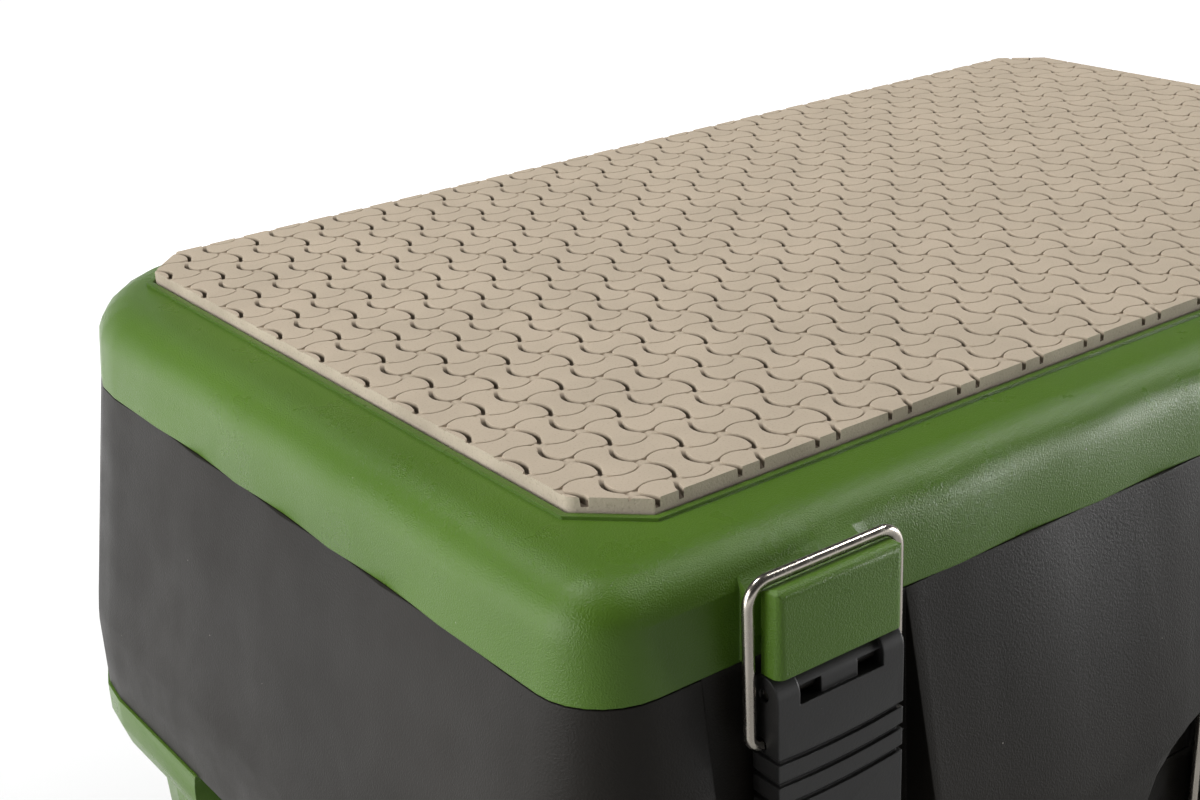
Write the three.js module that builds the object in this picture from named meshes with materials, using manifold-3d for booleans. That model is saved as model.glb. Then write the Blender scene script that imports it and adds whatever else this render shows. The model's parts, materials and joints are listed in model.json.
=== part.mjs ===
// A two-section fishing seat box. A deep lower bin carries a shallower upper section that tilts
// back on rear hinges, and that carries a lid with a foam seat pad. Draw latches hold the lid at
// the front left and front right, and one more in the middle holds the upper section down.
// Millimetres, +Z up, the front towards -Y, the origin on the floor under the middle of the box.

import * as THREE from "three";
import { mergeVertices } from "three/addons/utils/BufferGeometryUtils.js";
import Module from "manifold-3d";

// Overall sizes. Widths and depths are taken at the lid's rim.
const boxHeight = 300; // floor to the top of the seat pad
const lidWidth = 384.6;
const lidDepth = 238.8;
const lidHeight = 19.9; // rim to deck
const upperHeight = 81.3; // rim to the seam with the lower section
const frontCornerRadius = 15;
const rearCornerRadius = 42;

// Moulded walls and the gaps between parts
const wall = 2.6;
const seatGap = 0.3; // between two faces that rest on each other
const lipThickness = 1.8;
const lipHeight = 4.5; // how far a section's inner lip reaches into the part above it
const lipClearance = 0.6;
const overrun = 5; // how far a cutting solid passes the face that it cuts

// Seat pad and the tray in the lid that holds it
const padEndMargin = 22.3; // from the lid's rim, at each end
const padFrontMargin = 23.3;
const padRearMargin = 12.5;
const padThickness = 6;
const padProud = 3.4; // above the lid's deck
const padCorner = 11.3; // leg of each cut corner
const padGroove = 0.8; // open groove all round the pad
const padLipWidth = 1.5;
const padLipHeight = 0.6;

// Lid walls and shoulder, as insets from the rim at each side
const lidDraft = { end: 1.1, front: 1.6, rear: 0.9 };
const shoulder = { end: 11, front: 11.5, rear: 7.6 };
const shoulderHeight = 9.5;
const shoulderSteps = 6;
const lidRibThickness = 1.8;
const lidRibDepth = 3; // below the tray's underside
const lidRibsAcross = 6;
const lidRibsAlong = 3;

// Outward flare of the upper section and the ledge and taper of the lower section, outside the lid's rim
const flare = { end: 10.8, front: 10.8, rear: 3.2 };
const creaseHeight = 20.5; // above the seam
const creaseRound = 1.5;
const ledge = { end: 11.4, front: 11.4, rear: 3.7 };
const ledgeHeight = 10.5;
const ledgeRound = 3;
const chamferHeight = 19;
const base = { end: -8, front: -8, rear: -6 };
const baseRound = 4;
const footHeight = 4;
const footWidth = 46;
const footDepth = 26;
const footCorner = 8;
const footInset = 14; // from the base's edge
const floorThickness = 3;

// Shallow upright flutes pressed into the walls
const flutePitch = 41.5;
const fluteDepth = 0.7;
const fluteSteps = 4;
const endFluteCentre = -10;
const cornerSteps = 7;

// Draw latch. Its own frame has the origin on the lever's hinge line.
const leverWidth = 30.6;
const leverLength = 43; // hinge line to tip
const barrelRadius = 3.8;
const leverBack = 0.6; // from the barrel's rearmost line to the lever's open back
const leverPlate = 2;
const leverSideWall = 4.3;
const leverTipLip = 1.2;
const leverTipHeight = 7;
const leverTipRound = 1.4;
const leverEdge = 0.9;
const knuckleHalf = 4.4; // the middle knuckle's half length
const lugLength = 5;
const lugGap = 0.4; // between a lug and the knuckles beside it
const lugRadius = 1.8;
const notchDrop = 2.2;
const knuckleRecess = 0.8;
const windowRise = 1; // the lever's windows run from here, above the hinge line, down to the notches' foot
const grooveWidth = 1.2;
const grooveDepth = 0.8;
const grooveBow = 1.2;
const groovePitch = 4.7;
const firstGroove = 11.7; // below the hinge line, at the lever's sides
const grooveCount = 3;
const grooveSteps = 10;
const pinRadius = 1;
const pinClearance = 0.25;
const pinInset = 0.6; // the pin's ends lie this far inside the lever's sides
const hingeToRim = 4.9; // the hinge line lies this far below the rim that the latch closes
const hingeStandOff = 5.1; // in front of the lid's rim
const recessGap = 1.7; // between the barrel and the recess floor
const latchFromEnd = 49.5; // latch centre to the lid's end
const lowerLatchSetback = 5.8; // the middle latch sits this much deeper

// Wire bail
const wireRadius = 1.15;
const bailSideGap = 1.55; // between the wire and the lever's side
const bailPivotDrop = 10.4;
const bailSetback = 0.9; // the bail's plane lies this far behind the hinge line
const barHeight = 22.1; // the bar over the keeper, above the hinge line
const bailTopBend = 4.2;
const bailLowBend = 2.8;
const bailGrip = 3.6; // how far the wire's ends reach into the lever's sides
const wireSides = 8;
const bendSteps = 4;

// Keeper tab that the bail hooks over
const tabSideInset = 0.1; // from the lever's side
const tabTaper = 1.2; // the tab's top is narrower by this on each side
const tabDepth = 4.6;
const tabGap = 0.35;
const tabTopRise = 0.6; // the tab's top falls this much towards the bar
const tabEdge = 1.9;
const tabWebHalf = 11;
const tabWebDrop = 3;
const blockSideGap = 0.5; // between the block's foot and the wire at its side
const blockTaper = 3; // the block's top is narrower by this on each side
const blockGap = 2.35; // between the block and the wire in front of it

// Recesses for the latches, seen from the front
const recessSideGap = 5.85; // between the wire and the recess's side
const recessSpread = 1.9; // extra half width at the foot
const recessLength = 62;
const pocketHalf = 54.5; // arched pocket round the middle latch, at the seam
const pocketRise = 28;
const pocketDrop = 62;
const pocketSquareness = 3; // 2 gives an ellipse, and more gives fuller corners
const pocketSteps = 14;
const linerThickness = 2; // the liner in the lower half of the pocket, which holds the latch

// Grip recess in each end of the lower section
const gripHalf = 33;
const gripDrop = 40;
const gripCorner = 12;
const gripDepth = 13.5;

// Rear hinges: knuckles moulded on both parts, and a steel pin in each pair
const knuckleRadius = 4.3;
const hingePinRadius = 1.8;
const hingeWallGap = 1.2; // between a knuckle and the wall of the other part
const hingeFromEnd = 82;
const knuckleLength = 12;
const knuckleGap = 0.4;
const knuckleCount = 5;
const roundSides = 20;

// Dividers in the upper section
const dividerThickness = 2;
const dividerDrop = 15.9; // from the upper section's rim down to the dividers' tops
const longDividerSetback = 12; // behind the middle
const slotClearance = 0.35;
const slotRib = 1.6;
const slotRibReach = 3;

// Latch sizes that follow from the ones above
const leverDepth = barrelRadius - leverBack;
const lugInner = knuckleHalf + lugGap;
const lugOuter = lugInner + lugLength;
const endKnuckle = lugOuter + lugGap;
const latchPinLength = leverWidth - 2 * pinInset;
const recessSetback = barrelRadius + recessGap;
const bailHalfWidth = leverWidth / 2 + bailSideGap + wireRadius;
const bailEndReach = leverWidth / 2 - bailGrip;
const tabHalfLow = leverWidth / 2 - tabSideInset;
const tabHalfHigh = tabHalfLow - tabTaper;
const blockHalf = bailHalfWidth - wireRadius - blockSideGap;
const blockFront = bailSetback + wireRadius + blockGap;
const recessHalfTop = bailHalfWidth + wireRadius + recessSideGap;

// Heights of the main faces
const deckZ = boxHeight - padProud;
const trayFloorZ = deckZ + padProud - padThickness - seatGap;
const trayUnderZ = trayFloorZ - wall;
const lidRimZ = deckZ - lidHeight;
const upperTopZ = lidRimZ - seatGap;
const seamZ = upperTopZ - upperHeight;
const lowerTopZ = seamZ - seatGap;
const upperFloorZ = seamZ + lipHeight + seatGap;
const upperDeckZ = upperFloorZ + wall;
const dividerTopZ = upperTopZ - dividerDrop;
const frontY = -lidDepth / 2;
const rearY = lidDepth / 2;
const level = { end: 0, front: 0, rear: 0 };

const wasm = await Module();
wasm.setup();

// Solids and meshes

function solidOf(geometry) {
  const bare = geometry.clone();
  bare.deleteAttribute("normal");
  bare.deleteAttribute("uv");
  const merged = mergeVertices(bare);
  const mesh = new wasm.Mesh({
    numProp: 3,
    vertProperties: Float32Array.from(merged.attributes.position.array),
    triVerts: Uint32Array.from(merged.index.array),
  });
  return new wasm.Manifold(mesh);
}

function meshOf(name, solid, material) {
  const data = solid.getMesh();
  const indexed = new THREE.BufferGeometry();
  indexed.setAttribute("position", new THREE.BufferAttribute(data.vertProperties, data.numProp));
  indexed.setIndex(new THREE.BufferAttribute(data.triVerts, 1));
  const geometry = indexed.toNonIndexed();
  geometry.computeVertexNormals();
  const mesh = new THREE.Mesh(geometry, material);
  mesh.name = name;
  return mesh;
}

const join = (...solids) => solids.reduce((all, solid) => all.add(solid));
const cut = (solid, ...tools) => tools.reduce((left, tool) => left.subtract(tool), solid);

// A closed skin through rings of points. The rings run anticlockwise, seen against the direction of travel.
function loft(rings) {
  const positions = [];
  const triangle = (...corners) => corners.forEach((p) => positions.push(p.x, p.y, p.z));
  const cap = (ring, flipped) => {
    const middle = ring.reduce((sum, p) => sum.add(p), new THREE.Vector3()).divideScalar(ring.length);
    ring.forEach((point, i) => {
      const next = ring[(i + 1) % ring.length];
      if (flipped) triangle(middle, next, point);
      else triangle(middle, point, next);
    });
  };
  rings.slice(1).forEach((ring, i) => {
    const before = rings[i];
    ring.forEach((point, k) => {
      const next = (k + 1) % ring.length;
      triangle(before[k], before[next], ring[next]);
      triangle(before[k], ring[next], point);
    });
  });
  cap(rings[0], true);
  cap(rings[rings.length - 1], false);
  const geometry = new THREE.BufferGeometry();
  geometry.setAttribute("position", new THREE.Float32BufferAttribute(positions, 3));
  return solidOf(geometry);
}

// Prisms along each axis. The profile is a shape or points in the other two axes, taken in the order X, Y, Z.
function prism(profile, low, high, basis, start) {
  const shape = profile instanceof THREE.Shape ? profile : new THREE.Shape(profile);
  const options = { depth: high - low, bevelEnabled: false, curveSegments: cornerSteps };
  const geometry = new THREE.ExtrudeGeometry(shape, options);
  geometry.applyMatrix4(basis);
  geometry.translate(...start);
  return solidOf(geometry);
}

const axisX = new THREE.Vector3(1, 0, 0);
const axisY = new THREE.Vector3(0, 1, 0);
const axisZ = new THREE.Vector3(0, 0, 1);
const alongX = new THREE.Matrix4().makeBasis(axisY, axisZ, axisX);
const alongY = new THREE.Matrix4().makeBasis(axisX, axisZ, axisY.clone().negate());
const alongZ = new THREE.Matrix4();

const prismX = (profile, low, high) => prism(profile, low, high, alongX, [low, 0, 0]);
const prismY = (profile, low, high) => prism(profile, low, high, alongY, [0, high, 0]);
const prismZ = (profile, low, high) => prism(profile, low, high, alongZ, [0, 0, low]);

function box(x, y, z) {
  const geometry = new THREE.BoxGeometry(x[1] - x[0], y[1] - y[0], z[1] - z[0]);
  geometry.translate((x[0] + x[1]) / 2, (y[0] + y[1]) / 2, (z[0] + z[1]) / 2);
  return solidOf(geometry);
}

function rodX(low, high, y, z, radius, sides = roundSides) {
  const geometry = new THREE.CylinderGeometry(radius, radius, high - low, sides);
  geometry.rotateZ(Math.PI / 2);
  geometry.translate((low + high) / 2, y, z);
  return solidOf(geometry);
}

const point = (x, y) => new THREE.Vector2(x, y);

function roundedRectangle(left, right, bottom, top, radius) {
  const shape = new THREE.Shape();
  shape.moveTo(left + radius, bottom);
  shape.lineTo(right - radius, bottom);
  shape.absarc(right - radius, bottom + radius, radius, -Math.PI / 2, 0);
  shape.lineTo(right, top - radius);
  shape.absarc(right - radius, top - radius, radius, 0, Math.PI / 2);
  shape.lineTo(left + radius, top);
  shape.absarc(left + radius, top - radius, radius, Math.PI / 2, Math.PI);
  shape.lineTo(left, bottom + radius);
  shape.absarc(left + radius, bottom + radius, radius, Math.PI, 1.5 * Math.PI);
  return shape;
}

// Outlines of the box in plan. Each side grows by its own amount from the lid's rim.

const blend = (a, b, share) => ({
  end: THREE.MathUtils.lerp(a.end, b.end, share),
  front: THREE.MathUtils.lerp(a.front, b.front, share),
  rear: THREE.MathUtils.lerp(a.rear, b.rear, share),
});
const shrink = (grow, by) => ({ end: grow.end - by, front: grow.front - by, rear: grow.rear - by });

// Ridges between the flutes of a side that runs from low to high, shifted by a share of the pitch.
function ridges(low, high, centre, shiftShare) {
  const found = [];
  const reach = Math.ceil((high - low) / flutePitch);
  for (let k = -reach; k <= reach; k += 1) {
    const at = centre + (k + shiftShare) * flutePitch;
    if (at > low && at < high) found.push(at);
  }
  return found;
}

// Places along a fluted side, each with how far the flute sinks there, as a share of its depth.
function fluteStations(low, high, centre, shiftShare) {
  const stations = [];
  ridges(low, high, centre, shiftShare).forEach((at, i, all) => {
    stations.push({ at, sinkShare: 0 });
    if (i === all.length - 1) return;
    for (let k = 1; k < fluteSteps; k += 1) {
      const share = k / fluteSteps;
      stations.push({ at: at + share * flutePitch, sinkShare: Math.sin(Math.PI * share) });
    }
  });
  return stations;
}

function outline(grow, z, flutes = null) {
  const sideX = lidWidth / 2 - frontCornerRadius;
  const sideY = lidDepth / 2 - frontCornerRadius;
  const rearX = lidWidth / 2 - rearCornerRadius;
  const rearSideY = lidDepth / 2 - rearCornerRadius;
  const corners = [
    { x: sideX, y: -sideY, radius: frontCornerRadius, side: grow.front, from: -Math.PI / 2 },
    { x: rearX, y: rearSideY, radius: rearCornerRadius, side: grow.rear, from: 0 },
    { x: -rearX, y: rearSideY, radius: rearCornerRadius, side: grow.rear, from: Math.PI / 2 },
    { x: -sideX, y: -sideY, radius: frontCornerRadius, side: grow.front, from: Math.PI },
  ];
  const places = [];
  const arc = (corner) => {
    for (let k = 0; k <= cornerSteps; k += 1) {
      const angle = corner.from + ((Math.PI / 2) * k) / cornerSteps;
      const x = corner.x + (corner.radius + grow.end) * Math.cos(angle);
      const y = corner.y + (corner.radius + corner.side) * Math.sin(angle);
      places.push(new THREE.Vector3(x, y, z));
    }
  };
  const endX = lidWidth / 2 + grow.end;
  const sides = [
    { low: -sideY, high: rearSideY, centre: endFluteCentre, at: (s, sink) => [endX - sink, s] },
    { low: -rearX, high: rearX, centre: 0, at: (s, sink) => [-s, rearY + grow.rear - sink] },
    { low: -sideY, high: rearSideY, centre: endFluteCentre, at: (s, sink) => [sink - endX, s], back: true },
    { low: -sideX, high: sideX, centre: 0, at: (s, sink) => [s, frontY - grow.front + sink] },
  ];
  corners.forEach((corner, i) => {
    arc(corner);
    if (!flutes) return;
    const side = sides[i];
    const stations = fluteStations(side.low, side.high, side.centre, flutes.shiftShare);
    if (side.back) stations.reverse();
    stations.forEach(({ at, sinkShare }) => {
      const [x, y] = side.at(at, sinkShare * flutes.depth);
      places.push(new THREE.Vector3(x, y, z));
    });
  });
  return places;
}

const withoutFlutes = (levels) => levels.map(({ grow, z }) => ({ grow, z }));

// The solid through a stack of outlines
const stack = (levels) => loft(levels.map(({ grow, z, flutes }) => outline(grow, z, flutes)));

// An upright wall between two outlines, used for the lips that locate one section in the next
function ring(outside, inside, low, high) {
  const outer = stack([{ grow: outside, z: low }, { grow: outside, z: high }]);
  const inner = stack([{ grow: inside, z: low - overrun }, { grow: inside, z: high + overrun }]);
  return cut(outer, inner);
}

// A lip inside a section's rim, and the shelf under the rim that carries it
function lip(wallInside, outside, rimZ, top) {
  const inside = shrink(outside, lipThickness);
  const shelf = ring(wallInside, inside, rimZ - lipHeight - wall, rimZ - lipHeight);
  return join(ring(outside, inside, rimZ - lipHeight - wall, top), shelf);
}

// Places of the latches and hinges

const latchX = lidWidth / 2 - latchFromEnd;
const lidLatchY = frontY - hingeStandOff;
const lidLatchZ = lidRimZ - hingeToRim;
const lowerLatchY = lidLatchY + lowerLatchSetback;
const lowerLatchZ = seamZ - hingeToRim;
const lidHinge = { y: rearY + hingeWallGap + knuckleRadius, z: lidRimZ - seatGap / 2 };
const sectionHinge = { y: rearY + ledge.rear + hingeWallGap + knuckleRadius, z: seamZ - seatGap / 2 };
const hingeX = lidWidth / 2 - hingeFromEnd;

// Hinge knuckles

// Knuckles of one part along a hinge, each joined to its wall by an arm above or below the hinge line.
function knuckles(hinge, centreX, odd, wallY, armUp) {
  const pitch = knuckleLength + knuckleGap;
  const found = [];
  for (let k = 0; k < knuckleCount; k += 1) {
    if ((k % 2 === 1) !== odd) continue;
    const middle = centreX + (k - (knuckleCount - 1) / 2) * pitch;
    const low = middle - knuckleLength / 2;
    const high = middle + knuckleLength / 2;
    const barrel = rodX(low, high, hinge.y, hinge.z, knuckleRadius);
    const near = seatGap;
    const arm = armUp
      ? box([low, high], [wallY, hinge.y], [hinge.z + near, hinge.z + knuckleRadius])
      : box([low, high], [wallY, hinge.y], [hinge.z - knuckleRadius, hinge.z - near]);
    const bore = rodX(low - overrun, high + overrun, hinge.y, hinge.z, hingePinRadius + pinClearance);
    found.push(cut(join(barrel, arm), bore));
  }
  return join(...found);
}

const bothHinges = (...settings) =>
  join(...[-hingeX, hingeX].map((x) => knuckles(settings[0], x, ...settings.slice(1))));

// Latch keeper: a tab with rounded edges that stands off a block on the wall, both in the latch's frame

function keeperTab() {
  const low = barrelRadius + tabGap;
  const high = barHeight - wireRadius - tabGap;
  const front = -barrelRadius;
  const back = front + tabDepth;
  const frontView = [
    point(-tabHalfLow, low),
    point(tabHalfLow, low),
    point(tabHalfHigh + tabEdge / 2, high),
    point(tabHalfHigh, high + tabTopRise),
    point(-tabHalfHigh, high + tabTopRise),
    point(-tabHalfHigh - tabEdge / 2, high),
  ];
  const sideView = new THREE.Shape();
  sideView.moveTo(front, low);
  sideView.lineTo(back, low);
  sideView.lineTo(back, high - tabTopRise / 2);
  sideView.lineTo(front + tabEdge, high + tabTopRise);
  sideView.absarc(front + tabEdge, high + tabTopRise - tabEdge, tabEdge, Math.PI / 2, Math.PI);
  const planView = roundedRectangle(-tabHalfLow, tabHalfLow, front, back + tabEdge, tabEdge);
  return prismY(frontView, front - overrun, back + overrun)
    .intersect(prismX(sideView, -tabHalfLow - overrun, tabHalfLow + overrun))
    .intersect(prismZ(planView, low - overrun, high + overrun));
}

function keeper(blockProfile) {
  const webLow = hingeToRim + seatGap;
  const webHigh = barHeight - wireRadius - tabGap - tabWebDrop;
  const webDepth = [tabDepth / 2 - barrelRadius, blockFront + wall];
  const web = box([-tabWebHalf, tabWebHalf], webDepth, [webLow, webHigh]);
  const blockView = [
    point(-blockHalf, hingeToRim),
    point(blockHalf, hingeToRim),
    point(blockHalf - blockTaper, barHeight + wall),
    point(blockTaper - blockHalf, barHeight + wall),
  ];
  const block = prismX(blockProfile, -blockHalf, blockHalf).intersect(prismY(blockView, 0, lidDepth));
  return join(keeperTab(), web, block);
}

// Lugs on a recess floor that hold the latch's hinge pin
function latchLugs() {
  const lug = (low, high) => {
    const barrel = rodX(low, high, 0, 0, lugRadius);
    const arm = box([low, high], [0, recessSetback + linerThickness / 2], [-lugRadius, windowRise - lugGap]);
    return join(barrel, arm);
  };
  const bore = rodX(-leverWidth, leverWidth, 0, 0, pinRadius + pinClearance);
  return cut(join(lug(-lugOuter, -lugInner), lug(lugInner, lugOuter)), bore);
}

// Latch recesses

function recessTool(depthBehind, margin) {
  const top = hingeToRim + overrun;
  const foot = hingeToRim - recessLength;
  const profile = [
    point(-recessHalfTop - recessSpread - margin, foot - margin),
    point(recessHalfTop + recessSpread + margin, foot - margin),
    point(recessHalfTop + margin, hingeToRim),
    point(recessHalfTop + margin, top),
    point(-recessHalfTop - margin, top),
    point(-recessHalfTop - margin, hingeToRim),
  ];
  return prismY(profile, -lidDepth / 2, recessSetback + depthBehind);
}

// The arched pocket round the middle latch, one half above the seam and one below it
function pocketTool(rise, drop, depthBehind, margin) {
  const profile = [];
  const full = (share) => Math.sign(share) * Math.abs(share) ** (2 / pocketSquareness);
  for (let k = 0; k < 2 * pocketSteps; k += 1) {
    const angle = (Math.PI * k) / pocketSteps;
    const height = k < pocketSteps ? rise : drop;
    const across = (pocketHalf + margin) * full(Math.cos(angle));
    profile.push(point(across, (height + margin) * full(Math.sin(angle))));
  }
  const tool = prismY(profile, -lidDepth / 2, recessSetback + depthBehind);
  return tool.translate([0, 0, hingeToRim]);
}

// Lid with its pad tray, keepers, ribs and hinge knuckles

function lidLevels(inset, lowZ, drop) {
  const levels = [{ grow: shrink(level, inset), z: lowZ, flutes: { depth: fluteDepth, shiftShare: 1 / 2 } }];
  const wallTopZ = deckZ - shoulderHeight;
  for (let k = 0; k <= shoulderSteps; k += 1) {
    const angle = ((Math.PI / 2) * k) / shoulderSteps;
    const turned = 1 - Math.cos(angle);
    const grow = {
      end: -lidDraft.end - shoulder.end * turned - inset,
      front: -lidDraft.front - shoulder.front * turned - inset,
      rear: -lidDraft.rear - shoulder.rear * turned - inset,
    };
    const fade = Math.cos(angle) ** 2;
    const z = wallTopZ + (shoulderHeight - drop) * Math.sin(angle);
    levels.push({ grow, z, flutes: { depth: fluteDepth * fade, shiftShare: 1 / 2 } });
  }
  return levels;
}

// Pad outline with cut corners, grown outwards by a margin
function padOutline(margin) {
  const left = padEndMargin - lidWidth / 2 - margin;
  const right = -left;
  const front = frontY + padFrontMargin - margin;
  const rear = rearY - padRearMargin + margin;
  const leg = padCorner + margin * (2 - Math.SQRT2);
  return [
    point(left + leg, front),
    point(right - leg, front),
    point(right, front + leg),
    point(right, rear - leg),
    point(right - leg, rear),
    point(left + leg, rear),
    point(left, rear - leg),
    point(left, front + leg),
  ];
}

function lidRibs() {
  const top = deckZ - wall + overrun / 2;
  const bottom = trayUnderZ - lidRibDepth;
  const ribs = [];
  for (let k = 1; k <= lidRibsAcross; k += 1) {
    const x = lidWidth * (k / (lidRibsAcross + 1) - 1 / 2);
    ribs.push(box([x - lidRibThickness / 2, x + lidRibThickness / 2], [frontY, rearY], [bottom, top]));
  }
  for (let k = 1; k <= lidRibsAlong; k += 1) {
    const y = lidDepth * (k / (lidRibsAlong + 1) - 1 / 2);
    const across = [y - lidRibThickness / 2, y + lidRibThickness / 2];
    ribs.push(box([-lidWidth / 2, lidWidth / 2], across, [bottom, top]));
  }
  return join(...ribs);
}

function lidShell() {
  const outer = stack(lidLevels(0, lidRimZ, 0));
  const inner = stack(withoutFlutes(lidLevels(wall, lidRimZ - overrun, wall)));
  const trayUnder = prismZ(padOutline(padGroove + wall), trayUnderZ, deckZ);
  const shell = cut(outer, cut(inner, trayUnder, lidRibs()));
  const lip = prismZ(padOutline(padGroove + padLipWidth), deckZ - wall, deckZ + padLipHeight);
  const tray = prismZ(padOutline(padGroove), trayFloorZ, deckZ + overrun);
  const blockTop = barHeight - wireRadius - tabGap;
  const blockBack = hingeStandOff + lidDraft.front + wall / 2;
  const block = [
    point(blockFront, hingeToRim + seatGap),
    point(blockBack, hingeToRim + seatGap),
    point(blockBack, hingeToRim + lipHeight + seatGap),
    point(blockFront + shoulder.front + wall, blockTop + wall),
    point(blockFront + shoulder.front, blockTop + wall),
    point(blockFront + shoulder.front / 2, blockTop + tabTopRise),
    point(blockFront, blockTop - tabWebDrop),
  ];
  const keepers = [-latchX, latchX].map((x) => keeper(block).translate([x, lidLatchY, lidLatchZ]));
  const hinges = bothHinges(lidHinge, true, rearY - wall, true);
  return cut(join(shell, lip, ...keepers, hinges), tray);
}

function seatPad() {
  const low = deckZ + padProud - padThickness;
  return prismZ(padOutline(0), low, low + padThickness);
}

// Upper section

function upperLevels(inset, topZ, bottomZ) {
  const creaseZ = seamZ + creaseHeight;
  const plain = { depth: 0, shiftShare: 0 };
  const fluted = { depth: fluteDepth, shiftShare: 0 };
  const flareShare = creaseRound / (upperTopZ - creaseZ);
  return [
    { grow: shrink(flare, inset), z: bottomZ, flutes: plain },
    { grow: shrink(flare, inset), z: creaseZ - creaseRound, flutes: plain },
    { grow: shrink(blend(flare, level, flareShare), inset), z: creaseZ + creaseRound, flutes: fluted },
    { grow: shrink(level, inset), z: topZ, flutes: fluted },
  ];
}

// Rib pairs on the walls that hold the dividers' ends
function dividerSlots() {
  const low = upperDeckZ - wall / 2;
  const high = dividerTopZ;
  const gap = dividerThickness / 2 + slotClearance;
  const pairX = (x, y) =>
    [-1, 1].map((side) => {
      const edge = side * gap;
      const far = side * (gap + slotRib);
      return box([x + Math.min(edge, far), x + Math.max(edge, far)], y, [low, high]);
    });
  const pairY = (x) =>
    [-1, 1].map((side) => {
      const edge = side * gap;
      const far = side * (gap + slotRib);
      const y = longDividerSetback;
      return box(x, [y + Math.min(edge, far), y + Math.max(edge, far)], [low, high]);
    });
  const reach = wall + flare.end + slotRibReach;
  const endInside = lidWidth / 2 - wall - slotRibReach;
  const front = [frontY - reach, frontY + wall + slotRibReach];
  const rear = [rearY - wall - slotRibReach, rearY + reach];
  const ribs = [
    ...pairY([-endInside - reach, -endInside]),
    ...pairY([endInside, endInside + reach]),
    ...pairX(-crossDividerX, front),
    ...pairX(crossDividerX, front),
    ...pairX(0, rear),
  ];
  return join(...ribs);
}

const crossDividerX = (pocketHalf + latchX - recessHalfTop) / 2;

function upperBody() {
  const outer = stack(upperLevels(0, upperTopZ, seamZ));
  const cavityTop = upperTopZ + overrun;
  const cavity = stack([
    { grow: shrink(flare, wall), z: upperDeckZ },
    ...withoutFlutes(upperLevels(wall, cavityTop, seamZ)).slice(1),
  ]);
  const under = stack([
    { grow: shrink(flare, wall), z: seamZ - overrun },
    { grow: shrink(flare, wall), z: upperFloorZ },
  ]);
  const latchPlaces = [-latchX, latchX].map((x) => [x, lidLatchY, lidLatchZ]);
  const lowPlace = [0, lowerLatchY, lowerLatchZ];
  const pocketBacking = pocketTool(pocketRise, pocketDrop, wall, wall).translate(lowPlace);
  const backing = [...latchPlaces.map((place) => recessTool(wall, wall).translate(place)), pocketBacking];
  const recesses = [
    ...latchPlaces.map((place) => recessTool(0, 0).translate(place)),
    pocketTool(pocketRise, pocketDrop, 0, 0).translate(lowPlace),
  ];
  const clearCavity = cut(cavity, ...backing, dividerSlots());
  const shell = cut(outer, clearCavity, cut(under, pocketBacking));
  const lidWallTop = { end: -lidDraft.end, front: -lidDraft.front, rear: -lidDraft.rear };
  const lipOutside = shrink(lidWallTop, wall + seatGap);
  const topLip = lip(shrink(level, wall), lipOutside, upperTopZ, upperTopZ + lipHeight);
  const block = [
    point(blockFront, hingeToRim + seatGap),
    point(recessSetback + wall / 2, hingeToRim + seatGap),
    point(recessSetback + wall / 2, barHeight),
    point(recessSetback, barHeight),
    point(blockFront, barHeight - tabWebDrop),
  ];
  const hinges = join(
    bothHinges(lidHinge, false, rearY - wall / 2, false),
    bothHinges(sectionHinge, true, rearY + flare.rear - wall / 2, true),
  );
  const lugs = latchPlaces.map((place) => latchLugs().translate(place));
  const keeperLow = keeper(block).translate(lowPlace);
  const body = cut(join(shell, topLip), ...recesses);
  return join(body, ...lugs, keeperLow, hinges);
}

// Lower section

function lowerLevels(inset, topZ, floorZ) {
  const ledgeZ = lowerTopZ - ledgeHeight;
  const chamferZ = ledgeZ - chamferHeight;
  const roundShare = ledgeRound / chamferHeight;
  return [
    { grow: shrink(base, inset + baseRound), z: floorZ },
    { grow: shrink(base, inset), z: floorZ + baseRound },
    { grow: shrink(level, inset), z: chamferZ },
    { grow: shrink(blend(ledge, level, roundShare), inset), z: ledgeZ - ledgeRound },
    { grow: shrink(ledge, inset), z: ledgeZ + ledgeRound },
    { grow: shrink(ledge, inset), z: topZ },
  ];
}

function gripTool(depthBehind, margin) {
  const shape = roundedRectangle(
    -gripHalf - margin,
    gripHalf + margin,
    lowerTopZ - gripDrop - margin,
    lowerTopZ + gripCorner / 2,
    gripCorner,
  );
  const floorX = lidWidth / 2 + ledge.end - gripDepth - depthBehind;
  const far = lidWidth;
  return join(prismX(shape, floorX, far), prismX(shape, -far, -floorX));
}

function feet() {
  const x = lidWidth / 2 + base.end - footInset - footWidth;
  const front = frontY - base.front + footInset;
  const rear = rearY + base.rear - footInset - footDepth;
  const foot = (left, low) => {
    const plan = roundedRectangle(left, left + footWidth, low, low + footDepth, footCorner);
    return prismZ(plan, 0, footHeight + baseRound / 2);
  };
  const rearX = x - rearCornerRadius / 2;
  return join(foot(x, front), foot(-x - footWidth, front), foot(rearX, rear), foot(-rearX - footWidth, rear));
}

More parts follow.
